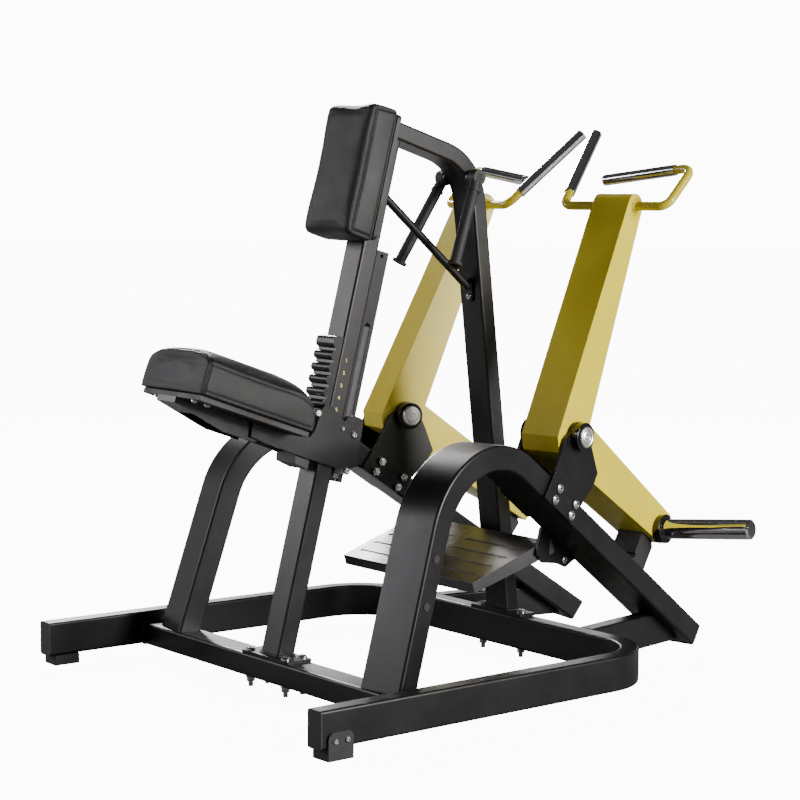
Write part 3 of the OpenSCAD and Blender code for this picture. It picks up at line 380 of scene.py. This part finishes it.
print("frame nodes dressed")


def leaningFrame(origin, lean):
    # columns: across the machine, along the pad, out of its board
    a = math.radians(lean)
    return Matrix.Translation(origin) @ Matrix(((1, 0, 0, 0), (0, math.cos(a), -math.sin(a), 0),
                                               (0, math.sin(a), math.cos(a), 0), (0, 0, 0, 1)))


def arcPoints(centre, radius, start, end, steps):
    turns = [math.radians(start + (end - start) * i / steps) for i in range(steps + 1)]
    return [(centre[0] + radius * math.cos(a), centre[1] + radius * math.sin(a)) for a in turns]


def shellBetween(outline, low, high, edge, steps=6):
    count = len(outline)
    normals = []
    for i in range(count):
        a, b = Vector(outline[i - 1]), Vector(outline[(i + 1) % count])
        d = (b - a).normalized()
        normals.append(Vector((d.y, -d.x)))
    rings = [(low + edge * (1 - math.sin(math.radians(90 * k / steps))),
              edge * (1 - math.cos(math.radians(90 * k / steps)))) for k in range(steps, -1, -1)]
    far = [(low + high - place, inset) for place, inset in rings[::-1]]
    verts, faces = [], []
    for place, inset in rings + far:
        for p, n in zip(outline, normals):
            verts.append((place, p[0] - n.x * inset, p[1] - n.y * inset))
    total = len(rings) + len(far)
    for i in range(total - 1):
        for k in range(count):
            m = (k + 1) % count
            faces.append((i * count + k, (i + 1) * count + k, (i + 1) * count + m, i * count + m))
    faces.append(tuple(range(count)))
    faces.append(tuple((total - 1) * count + k for k in range(count - 1, -1, -1)))
    return verts, faces


coverCloth = {"smoothing": 3, "stiffness": 18, "bending": 2, "steps": 20}


def swell(piece, inverse, settings):
    bpy.context.view_layer.objects.active = piece
    piece.select_set(True)
    remesh = piece.modifiers.new("Remesh", "REMESH")
    remesh.mode = "VOXEL"
    remesh.voxel_size = settings["voxel"]
    bpy.ops.object.modifier_apply(modifier=remesh.name)
    smooth = piece.modifiers.new("Smooth", "SMOOTH")
    smooth.iterations = coverCloth["smoothing"]
    bpy.ops.object.modifier_apply(modifier=smooth.name)
    start = [v.co.copy() for v in piece.data.vertices]
    held = piece.vertex_groups.new(name="held")
    flat = [v.index for v in piece.data.vertices if (inverse @ v.co).z < settings["heldBelow"]]
    held.add(flat, 1.0, "REPLACE")
    cloth = piece.modifiers.new("Cloth", "CLOTH")
    cloth.settings.use_pressure = True
    cloth.settings.uniform_pressure_force = settings["pressure"]
    cloth.settings.effector_weights.gravity = 0
    cloth.settings.vertex_group_mass = "held"
    cloth.settings.tension_stiffness = coverCloth["stiffness"]
    cloth.settings.compression_stiffness = coverCloth["stiffness"]
    cloth.settings.bending_stiffness = coverCloth["bending"]
    for step in range(1, coverCloth["steps"] + 1):
        bpy.context.scene.frame_set(step)
    bpy.ops.object.modifier_apply(modifier=cloth.name)
    # the bulge is evened out over its neighbours, so the cover lies taut
    rest = np.array([tuple(v) for v in start])
    move = np.array([tuple(v.co) for v in piece.data.vertices]) - rest
    ends = np.array([tuple(e.vertices) for e in piece.data.edges])
    share = np.zeros(len(rest))
    np.add.at(share, ends.ravel(), 1)
    for _ in range(settings["evening"]):
        total = np.zeros_like(move)
        np.add.at(total, ends[:, 0], move[ends[:, 1]])
        np.add.at(total, ends[:, 1], move[ends[:, 0]])
        move = total / share[:, None]
    size = np.linalg.norm(move, axis=1, keepdims=True)
    print("bulge of", piece.name, "mean %.4f most %.4f" % (size.mean(), size.max()))
    move *= settings["cap"] / np.maximum(size, settings["cap"])
    piece.data.vertices.foreach_set("co", (rest + move).ravel())
    bpy.context.scene.frame_set(1)
    piece.vertex_groups.clear()
    finer = piece.modifiers.new("Subdivision", "SUBSURF")
    finer.levels = finer.render_levels = 1
    bpy.ops.object.modifier_apply(modifier=finer.name)
    piece.select_set(False)


sewing = {"sink": 0.72, "pathStep": 0.003, "cordStep": 0.004, "ripple": 0.10, "pitch": 0.008}


def sewSeam(piece, path, depth, width):
    # presses a valley into the pad along the path, then returns the path moved onto the pad
    mesh = piece.data
    tree = BVHTree.FromPolygons([v.co for v in mesh.vertices], [tuple(p.vertices) for p in mesh.polygons])
    line = [tree.find_nearest(Vector(p)) for p in path]
    points = [hit[0] for hit in line]
    outward = [hit[1] for hit in line]
    near = kdtree.KDTree(len(points))
    for i, p in enumerate(points):
        near.insert(p, i)
    near.balance()
    for v in mesh.vertices:
        _, i, distance = near.find(v.co)
        if distance < 3 * width:
            v.co -= outward[i] * depth * math.exp(-(distance / width) ** 2)
    return [p - n * (depth * sewing["sink"]) for p, n in zip(points, outward)]


def smoothLine(points, rounds=3, closed=True):
    points = [Vector(p) for p in points]
    count = len(points)
    for _ in range(rounds):
        points = [(points[i - 1] + 2 * p + points[(i + 1) % count]) / 4 if closed or 0 < i < count - 1 else p
                  for i, p in enumerate(points)]
    return points


def seamPiece(name, path, body, radius, closed=True):
    line = smoothLine(resample(path, sewing["cordStep"], closed), 3, closed)
    verts, faces = sweep(line, radius, 6, closed, sewing["ripple"], sewing["pitch"])
    return addObject(name, meshFrom(name, verts, faces), body, materials["seamThread"])


def measureLeaning(node, lean, cut):
    # length along the lean and thickness across it, from the node's box, whose far top edge is cut
    low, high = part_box(node)
    c, s = math.cos(math.radians(lean)), math.sin(math.radians(lean))
    y, z = high.y - low.y + cut * s, high.z - low.z
    return (y * c - z * s) / (c * c - s * s), (z * c - y * s) / (c * c - s * s), low, high


seatCushion = {"slope": 18.8, "shoulder": 0.070, "crownFlat": 2.15,
               "rearDrop": 0.062, "rearCut": 0.036, "shrink": 0.0005,
               "rearStations": (0.0, 0.002, 0.006, 0.012, 0.02, 0.03, 0.04, 0.05, 0.065),
               "middleStations": 24, "endsLength": 0.072, "frontStations": (0.0045, 0.0025, 0.001),
               "thinnest": 0.016, "underside": 0.001, "underTuck": 0.3,
               "frontEdge": 0.007, "voxel": 0.005, "pressure": 4.0, "cap": 0.005, "heldBelow": 0.006,
               "evening": 60,
               "seamDepth": 0.0030, "seamWidth": 0.0042, "cord": 0.0013, "weltBack": 0.006, "weltFoot": 0.004,
               "sideSeamRise": 0.002, "rearDip": 0.018, "dipLength": 0.10, "sideSeamShare": 0.7,
               "hemHeight": 0.0085, "hemDepth": 0.0016, "hemWidth": 0.004, "hemRear": 0.012,
               "hemFront": 0.010, "weltCord": 1.25, "sideCord": 0.8, "sideFront": 0.008, "sideRear": 0.012}


def makeSeatCushion(s):
    length, thick, low, high = measureLeaning("seat_pad", s["slope"], s["rearCut"])
    half = (high.x - low.x) / 2 - s["shrink"]
    a = math.radians(s["slope"])
    # local Y runs rearward down the slope, local Z out of the seat board
    origin = Vector((0, high.y - (thick - s["rearCut"]) * math.sin(a), low.z))
    place = leaningFrame(origin, -s["slope"])
    top = thick - s["shrink"]

    def crown(x):
        bow = math.sqrt(max(0.0, 1 - (abs(x) / half) ** s["crownFlat"]))
        return s["shoulder"] + (top - s["shoulder"]) * bow

    across = [half * math.sin(math.pi / 2 * (i / 20 - 1)) for i in range(41)]
    stations = list(s["rearStations"])
    rear, count = stations[-1], s["middleStations"]
    stations += [rear + (length - s["endsLength"]) * i / count for i in range(1, count + 1)]
    stations += [length - gap for gap in s["frontStations"]]
    verts, faces = [], []
    for l in stations:
        back = max(0.0, s["rearDrop"] - l)
        drop = s["rearDrop"] - math.sqrt(max(0.0, s["rearDrop"] ** 2 - back ** 2))
        ahead = max(0.0, l - (length - s["frontEdge"]))
        tuck = s["frontEdge"] - math.sqrt(max(0.0, s["frontEdge"] ** 2 - ahead ** 2))
        for x in across:
            h = max(s["thinnest"], crown(x) - drop - tuck)
            verts.append((x * (1 - tuck / half), -l, h))
        for x in reversed(across):
            verts.append((x * (1 - tuck / half), -l, s["underside"] + tuck * s["underTuck"]))
    ring = 2 * len(across)
    for i in range(len(stations) - 1):
        for k in range(ring):
            m = (k + 1) % ring
            faces.append((i * ring + k, i * ring + m, (i + 1) * ring + m, (i + 1) * ring + k))
    faces.append(tuple(range(ring - 1, -1, -1)))
    faces.append(tuple((len(stations) - 1) * ring + k for k in range(ring)))
    mesh = meshFrom("seatCushion", [place @ Vector(v) for v in verts], faces)
    piece = addObject("seatCushion", mesh, "seat_carriage", materials["padLeather"])
    swell(piece, place.inverted(), s)
    # welt round the front panel, and one along each side's shoulder
    weltY, foot = -length + s["weltBack"], s["weltFoot"]
    front = [Vector((x, weltY, crown(x))) for x in across]
    front = [Vector((-half, weltY, foot))] + front + [Vector((half, weltY, foot))]
    welt = [place @ p for p in resample(front, sewing["pathStep"])]
    frontLine = sewSeam(piece, welt, s["seamDepth"], s["seamWidth"])
    seamPiece("seatFrontWelt", frontLine, "seat_carriage", s["cord"] * s["weltCord"], closed=False)
    for side, label in ((1, "Right"), (-1, "Left")):
        line = [Vector((side * half, -l, s["shoulder"] + s["sideSeamRise"]
                        - s["rearDip"] * max(0.0, 1 - l / s["dipLength"]) ** 2))
                for l in np.linspace(length - s["sideFront"], s["sideRear"], 60)]
        depth = s["seamDepth"] * s["sideSeamShare"]
        sideLine = sewSeam(piece, [place @ p for p in line], depth, s["seamWidth"])
        seamPiece("seatSideSeam" + label, sideLine, "seat_carriage", s["cord"] * s["sideCord"], closed=False)
    rearY, frontY = -s["hemRear"], -length + s["hemFront"]
    hem = [(half, rearY), (half, frontY), (-half, frontY), (-half, rearY)]
    hemLine = resample([Vector((x, y, s["hemHeight"])) for x, y in hem], sewing["cordStep"], True)
    sewSeam(piece, [place @ p for p in hemLine], s["hemDepth"], s["hemWidth"])
    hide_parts("seat_pad")


chestCushion = {"lean": 14.3, "frontRadius": 0.018, "backRadius": 0.008, "edge": 0.014, "shrink": 0.0005,
                "voxel": 0.005, "pressure": 4.0, "cap": 0.005, "heldBelow": 0.006, "evening": 60,
                "seamDepth": 0.0030, "seamWidth": 0.0040, "cord": 0.0013, "boardGap": 0.001,
                "outlineStep": 0.008, "seamRim": 0.9, "seamEnds": 0.3, "seamReach": 1.2}


def makeChestCushion(s):
    # the board's plane is the pad's back: local Y up the post, local Z toward the user
    low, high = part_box("chest_pad")
    a = math.radians(s["lean"])
    c, sn = math.cos(a), math.sin(a)
    y, z = high.y - low.y, high.z - low.z
    tall, thick = (z * c - y * sn) / (c * c - sn * sn), (y * c - z * sn) / (c * c - sn * sn)
    origin = Vector((0, low.y + thick * c, low.z))
    place = Matrix.Translation(origin) @ Matrix(((1, 0, 0, 0), (0, sn, -c, 0), (0, c, sn, 0), (0, 0, 0, 1)))
    half = (high.x - low.x) / 2 - s["shrink"]
    far, top = thick - s["shrink"], tall - s["shrink"]
    near, base = s["boardGap"], s["shrink"]
    rf, rb = s["frontRadius"], s["backRadius"]
    outline = (arcPoints((base + rb, near + rb), rb, 180, 270, 4)
               + arcPoints((top - rb, near + rb), rb, 270, 360, 4)
               + arcPoints((top - rf, far - rf), rf, 0, 90, 8)
               + arcPoints((base + rf, far - rf), rf, 90, 180, 8))
    outline = [(p.x, p.y) for p in resample([(*p, 0) for p in outline], s["outlineStep"], True)]
    verts, faces = shellBetween(outline, -half, half, s["edge"])
    mesh = meshFrom("chestCushion", [place @ Vector(v) for v in verts], faces)
    piece = addObject("chestCushion", mesh, "frame", materials["padLeather"])
    swell(piece, place.inverted(), s)
    # each side panel is sewn in, a little way in from the rounded edge
    rim = s["edge"] * s["seamRim"]
    ends = rim * s["seamEnds"]
    inner = (arcPoints((base + rb, near + rb), rb, 180, 270, 3)
             + arcPoints((top - rb, near + rb), rb, 270, 360, 3)
             + arcPoints((top - rf - ends, far - rf - rim), rf, 0, 90, 8)
             + arcPoints((base + rf + ends, far - rf - rim), rf, 90, 180, 8))
    for side, label in ((1, "Right"), (-1, "Left")):
        path = [place @ Vector((side * half * s["seamReach"], p[0], p[1])) for p in inner]
        line = sewSeam(piece, resample(path, sewing["pathStep"], True), s["seamDepth"], s["seamWidth"])
        seamPiece("chestSeam" + label, line, "frame", s["cord"])
    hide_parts("chest_pad")


makeSeatCushion(seatCushion)
print("seat cushion made")
makeChestCushion(chestCushion)
print("chest cushion made")


weldBead = {"radius": 0.0032, "ripple": 0.16, "pitch": 0.0046, "step": 0.0011, "footBand": 0.0008,
            "lift": 0.001, "endShare": 0.99}


def hull2d(points):
    points = sorted(set(points))

    def half(run):
        out = []
        for p in run:
            while len(out) > 1 and ((out[-1][0] - out[-2][0]) * (p[1] - out[-2][1])
                                    - (out[-1][1] - out[-2][1]) * (p[0] - out[-2][0])) <= 0:
                out.pop()
            out.append(p)
        return out[:-1]
    return half(points) + half(points[::-1])


def nodeVertices(name):
    return [nodes[name].matrix_world @ v.co for v in nodes[name].data.vertices]


def weldLoop(name, path, body, material="blackCoat", radius=None):
    s = weldBead
    line = resample(path, s["step"], True)
    verts, faces = sweep(line, radius or s["radius"], 8, True, s["ripple"], s["pitch"])
    addObject(name, meshFrom(name, verts, faces), body, materials[material])


def weldFoot(node, label):
    # round the outline where a tube's cut end stands on another piece
    points = nodeVertices(node)
    floorZ = min(p.z for p in points)
    ring = hull2d([(round(p.x, 5), round(p.y, 5)) for p in points if p.z < floorZ + weldBead["footBand"]])
    weldLoop(label, [Vector((x, y, floorZ + weldBead["lift"])) for x, y in ring], "frame")


def makeWelds():
    weldFoot("arch_right", "weldArchRight")
    weldFoot("arch_left", "weldArchLeft")
    weldFoot("front_post", "weldFrontPost")
    weldFoot("spine", "weldSpine")
    bar = nodeVertices("front_crossbar")
    reach = max(p.x for p in bar)
    for side, label in ((1, "Right"), (-1, "Left")):
        ends = [p for p in bar if p.x * side > reach * weldBead["endShare"]]
        ring = hull2d([(round(p.y, 5), round(p.z, 5)) for p in ends])
        inner = {(round(p.y, 5), round(p.z, 5)): p.x for p in ends}
        weldLoop("weldCrossbar" + label, [Vector((inner[q], q[0], q[1])) for q in ring], "frame")


makeWelds()

handleWeld = {"out": 0.053, "along": -0.115, "square": 0.577, "slope": 34.5, "toe": 10.4,
              "rod": 0.011, "gap": 0.001, "bead": 0.0042}


def armPlace(side, s):
    # the arm's head: X along the shaft, Y rearward, Z up
    joint = joints["arm_right_pivot" if side > 0 else "arm_left_pivot"]
    a = math.radians(s["slope"])
    back = s["along"] * math.cos(a) + s["square"] * math.sin(a)
    rise = -s["along"] * math.sin(a) + s["square"] * math.cos(a)
    toe = math.radians(s["toe"]) * side
    turn = Matrix.Rotation(toe, 4, "Z")
    return Matrix.Translation(Vector(joint["pos_m"])) @ turn @ Matrix.Translation((0, back, rise))


def makeHandleWelds(s):
    r = s["rod"] + s["gap"]
    for side, label in ((1, "Right"), (-1, "Left")):
        head = armPlace(side, s)
        for face, place in ((1, "Outer"), (-1, "Inner")):
            ring = [head @ Vector((face * s["out"], r * math.cos(t), r * math.sin(t)))
                    for t in np.linspace(0, 2 * math.pi, 40)[:-1]]
            weldLoop("weldHandle" + place + label, ring, "arm_right" if side > 0 else "arm_left",
                     "mustardCoat", s["bead"])


makeHandleWelds(handleWeld)
print("weld beads made")

hubCap = {"profile": ((0.0, 0.0034), (0.0030, 0.0034), (0.0036, 0.0012), (0.0075, 0.0012), (0.0082, 0.0030),
                      (0.0092, 0.0034), (0.0155, 0.0034), (0.0163, 0.0020), (0.0176, 0.0020),
                      (0.0184, 0.0032), (0.0222, 0.0030), (0.0240, 0.0018), (0.0250, -0.0006)),
          "lift": 0.0002, "sunk": 0.002, "centre": 0.0004, "sides": 56}


def makeHubCaps(s):
    for side, body, node in ((1, "arm_right", "shaft_right"), (-1, "arm_left", "shaft_left")):
        joint = joints[body + "_pivot"]
        axis, middle = Vector(joint["axis"]).normalized(), Vector(joint["pos_m"])
        along = [(p - middle).dot(axis) for p in nodeVertices(node)]
        for way, end, label in ((1, max(along), "Out"), (-1, min(along), "In")):
            face = middle + axis * (end - way * s["sunk"])
            profile = [(max(r, s["centre"]), h) for r, h in s["profile"]]
            verts, faces = lathe(profile, face + axis * way * s["lift"], axis * way, s["sides"])
            name = "hubCap" + label + ("Right" if side > 0 else "Left")
            addObject(name, meshFrom(name, verts, faces), body, materials["turnedSteel"])


makeHubCaps(hubCap)

rackNumbers = {"lean": 14.3, "heights": (0.653, 0.681, 0.709, 0.738, 0.767), "behindFront": 0.0210,
               "size": 0.01188, "raise": 0.0004, "fatten": 0.0004}


def makeRackNumbers(s):
    low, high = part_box("front_post")
    a = math.radians(s["lean"])
    for side, label in ((1, "Right"), (-1, "Left")):
        for i, z in enumerate(s["heights"]):
            curve = bpy.data.curves.new("rackNumber", "FONT")
            curve.body = str(len(s["heights"]) - i)
            curve.size = s["size"]
            curve.extrude = s["raise"]
            curve.offset = s["fatten"]
            curve.align_x, curve.align_y = "CENTER", "CENTER"
            text = bpy.data.objects.new("rackNumberText", curve)
            mesh = bpy.data.meshes.new_from_object(text)
            bpy.data.objects.remove(text)
            y = low.y + (z - low.z) * math.tan(a) + s["behindFront"] / math.cos(a)
            right = Vector((0, 1, 0)) * side
            up = Vector((0, 0, 1))
            turn = Matrix((right, up, Vector((side, 0, 0)))).transposed().to_4x4()
            mesh.transform(Matrix.Translation((side * high.x, y, z)) @ turn)
            name = "rackNumber%d%s" % (i + 1, label)
            addObject(name, mesh, "frame", materials["numberPaint"], smooth=False)


makeRackNumbers(rackNumbers)
print("hub caps and numbers made")


camera = {"from": (3.9305, -3.2132, 1.1361), "to": (-0.0269, -0.0401, 0.6587), "roll": 0.49, "lens": 94.36,
          "sensor": 36.0, "clipEnd": 60.0}


def makeCamera(s):
    data = bpy.data.cameras.new("camera")
    data.lens, data.sensor_width = s["lens"], s["sensor"]
    data.clip_end = s["clipEnd"]
    eye = bpy.data.objects.new("camera", data)
    bpy.context.scene.collection.objects.link(eye)
    ahead = (Vector(s["to"]) - Vector(s["from"])).normalized()
    right = ahead.cross(Vector((0, 0, 1))).normalized()
    up = right.cross(ahead)
    r = math.radians(s["roll"])
    right, up = right * math.cos(r) + up * math.sin(r), up * math.cos(r) - right * math.sin(r)
    turn = Matrix((right, up, -ahead)).transposed()
    eye.matrix_world = Matrix.Translation(s["from"]) @ turn.to_4x4()
    bpy.context.scene.camera = eye


panels = {
    "keyRight": {"at": (5.0, 1.6, 1.9), "size": (1.8, 2.4), "power": 620, "colour": (1.0, 0.98, 0.95)},
    "sideLeft": {"at": (-4.6, 1.8, 3.0), "size": (1.0, 1.2), "power": 400, "colour": (1.0, 0.98, 0.97)},
    "frontLeft": {"at": (-3.3, -3.8, 2.2), "size": (2.6, 2.0), "power": 165, "colour": (1.0, 0.95, 1.0)},
    "backLow": {"at": (-4.2, 4.6, 1.3), "size": (3.4, 1.0), "power": 40, "colour": (0.92, 0.94, 1.0)},
}
lampAim = (0, 0, 0.6)
surround = {"seen": (12.0, 12.0, 12.0), "strength": 1.0, "cool": 1.02,
            "bands": ((0.0, 0.05), (0.49, 0.06), (0.515, 0.8), (0.55, 0.7), (0.59, 0.05), (1.0, 0.08))}
floorLook = {"reach": 60.0, "colour": (0.22, 0.22, 0.22), "rough": 0.9, "specular": 0.2, "glow": 11.6}


def makeLights():
    for name, s in panels.items():
        data = bpy.data.lights.new(name, "AREA")
        data.shape = "RECTANGLE"
        data.size, data.size_y = s["size"]
        data.energy, data.color = s["power"], s["colour"]
        lamp = bpy.data.objects.new(name, data)
        bpy.context.scene.collection.objects.link(lamp)
        lamp.location = s["at"]
        lamp.rotation_euler = (Vector(lampAim) - Vector(s["at"])).to_track_quat("-Z", "Y").to_euler()
    world = bpy.data.worlds.new("studio")
    world.use_nodes = True
    bpy.context.scene.world = world
    tree = world.node_tree
    link = tree.links.new
    back = tree.nodes["Background"]
    place = tree.nodes.new("ShaderNodeTexCoord")
    split = tree.nodes.new("ShaderNodeSeparateXYZ")
    link(place.outputs["Generated"], split.inputs[0])
    height = rangeNode(tree, split.outputs["Z"], -1, 1, 0, 1)
    ramp = tree.nodes.new("ShaderNodeValToRGB")
    link(height.outputs["Result"], ramp.inputs["Fac"])
    while len(ramp.color_ramp.elements) < len(surround["bands"]):
        ramp.color_ramp.elements.new(0.5)
    for element, (at, value) in zip(ramp.color_ramp.elements, surround["bands"]):
        element.position = at
        element.color = (value, value, value * surround["cool"], 1)
    path = tree.nodes.new("ShaderNodeLightPath")
    mix = tree.nodes.new("ShaderNodeMix")
    mix.data_type = "RGBA"
    link(path.outputs["Is Camera Ray"], mix.inputs["Factor"])
    link(ramp.outputs["Color"], mix.inputs["A"])
    mix.inputs["B"].default_value = (*surround["seen"], 1)
    link(mix.outputs["Result"], back.inputs["Color"])
    back.inputs["Strength"].default_value = surround["strength"]


def makeFloor(s):
    r = s["reach"]
    mesh = meshFrom("floor", [(-r, -r, 0), (r, -r, 0), (r, r, 0), (-r, r, 0)], [(0, 1, 2, 3)])
    material = bpy.data.materials.new("paleFloor")
    material.use_nodes = True
    tree = material.node_tree
    shader = tree.nodes["Principled BSDF"]
    shader.inputs["Base Color"].default_value = (*s["colour"], 1)
    shader.inputs["Roughness"].default_value = s["rough"]
    shader.inputs["Specular IOR Level"].default_value = s["specular"]
    shader.inputs["Emission Color"].default_value = (1, 1, 1, 1)
    path = tree.nodes.new("ShaderNodeLightPath")
    glow = mathNode(tree, "MULTIPLY", path.outputs["Is Camera Ray"], s["glow"])
    tree.links.new(glow.outputs[0], shader.inputs["Emission Strength"])
    floor = bpy.data.objects.new("floor", mesh)
    mesh.materials.append(material)
    bpy.context.scene.collection.objects.link(floor)


makeCamera(camera)
makeLights()
makeFloor(floorLook)
print("camera, lights and floor made")
